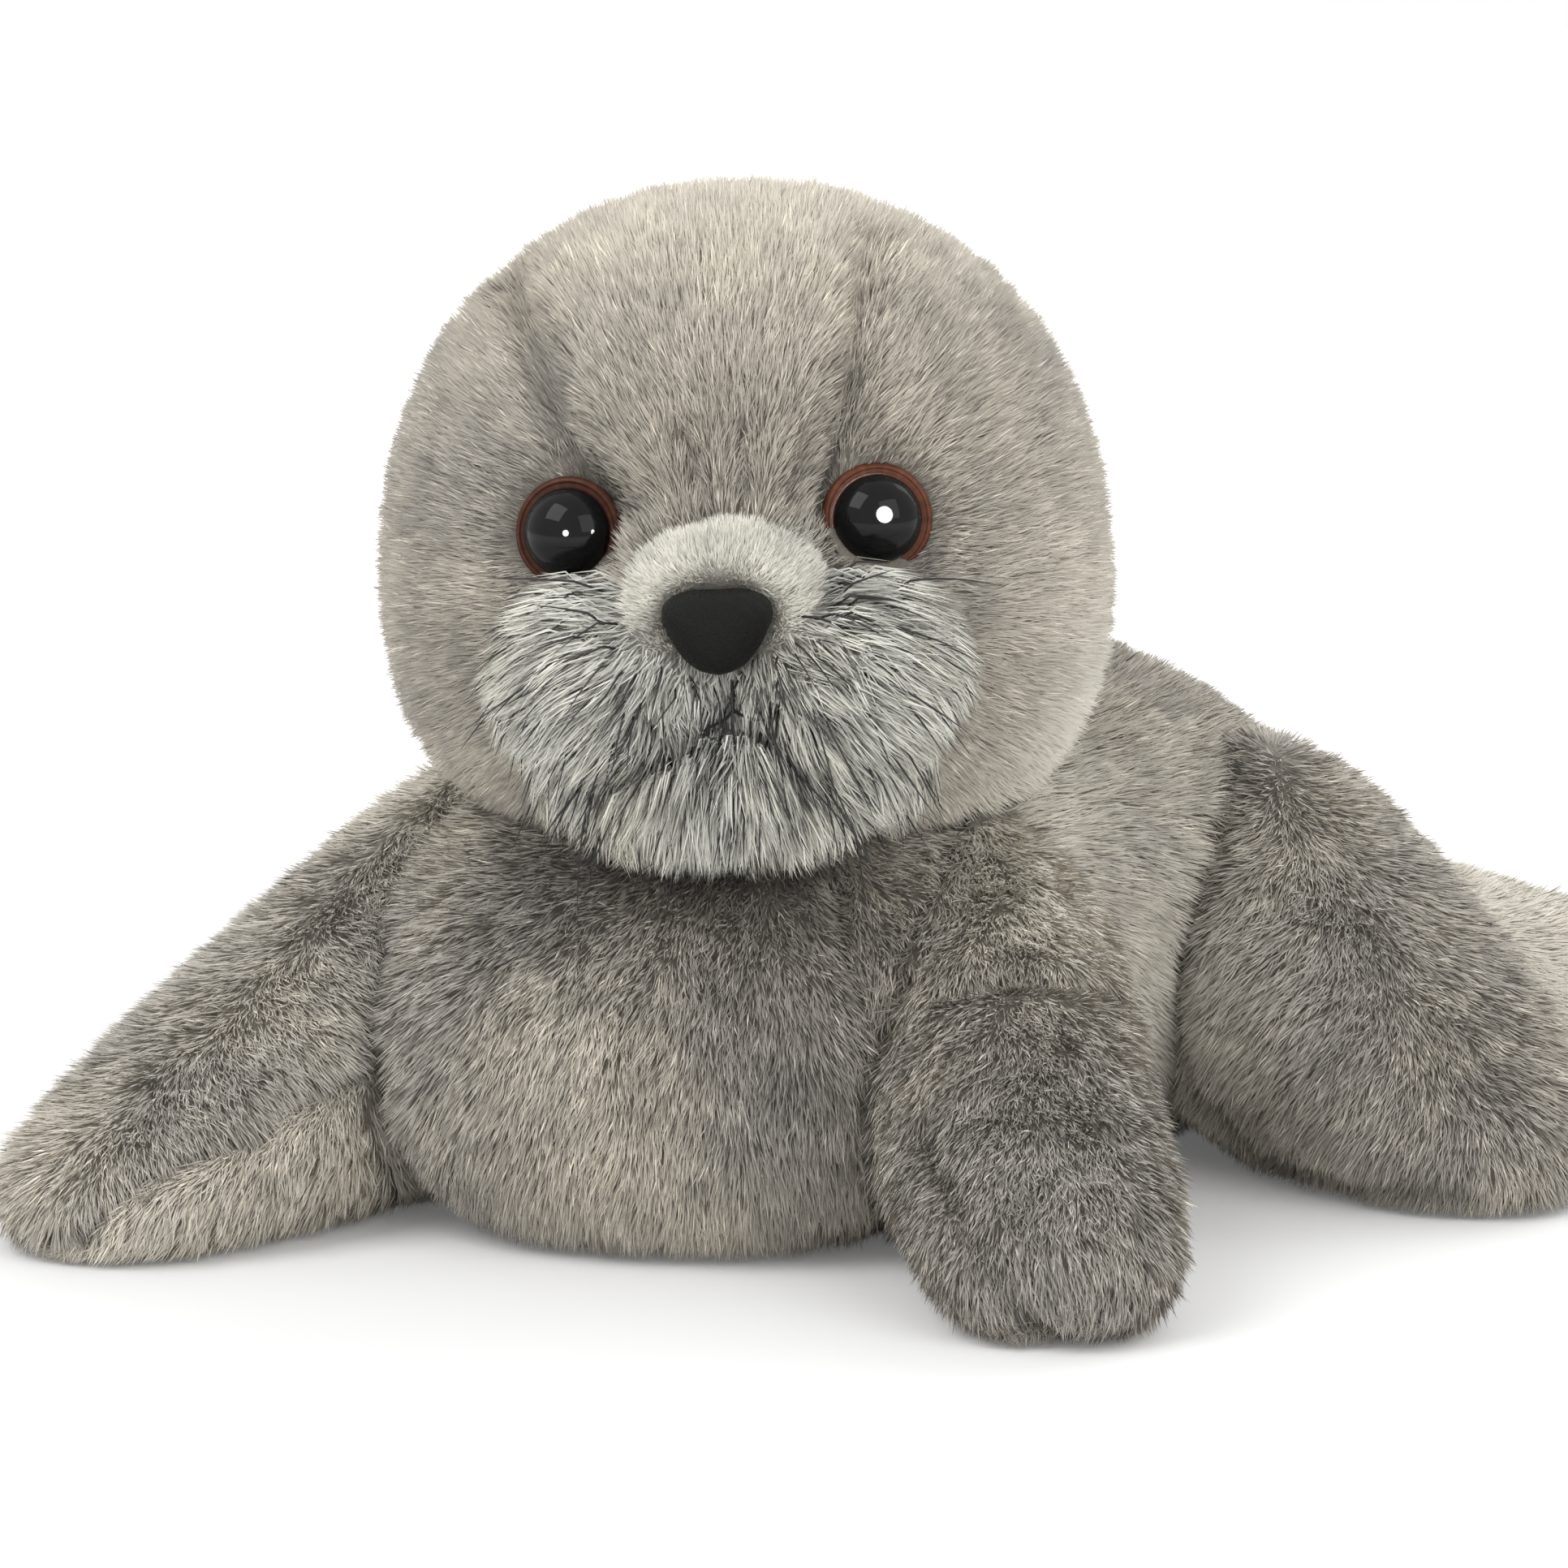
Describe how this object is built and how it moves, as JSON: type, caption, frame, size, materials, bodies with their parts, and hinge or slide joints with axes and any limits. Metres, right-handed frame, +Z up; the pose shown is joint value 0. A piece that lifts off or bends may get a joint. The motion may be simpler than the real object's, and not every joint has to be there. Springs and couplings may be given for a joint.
{
  "type": "plush seal",
  "caption": "Stuffed plush seal lying on its belly, head turned aside, with splayed flippers, whiskered muzzle, domed plastic eyes and a plastic nose.",
  "frame": {"origin": "on the flat of the belly, where it lies on the ground, under the neck", "axes": "+Z up, the seal faces -Y and its tail points to +Y, +X is the seal's own left"},
  "size_m": [0.1884, 0.274, 0.1484],
  "materials": {
    "body_fur": "short frosted grey and cream pile",
    "muzzle_fur": "long white pile with black tipped hairs",
    "nose_plastic": "matte black with a fine leather grain",
    "iris_plastic": "polished dark brown",
    "pupil_plastic": "polished black dome",
    "washer_plastic": "natural white moulding"
  },
  "bodies": {
    "root": {"torso": "body_fur", "head": "body_fur", "front_flipper_left": "body_fur", "front_flipper_right": "body_fur", "hind_flipper_left": "body_fur", "hind_flipper_right": "body_fur", "muzzle": "muzzle_fur", "nose": "nose_plastic", "nose_washer": "washer_plastic", "eye_iris_left": "iris_plastic", "eye_iris_right": "iris_plastic", "eye_pupil_left": "pupil_plastic", "eye_pupil_right": "pupil_plastic", "eye_washer_left": "washer_plastic", "eye_washer_right": "washer_plastic"}
  },
  "joints": []
}
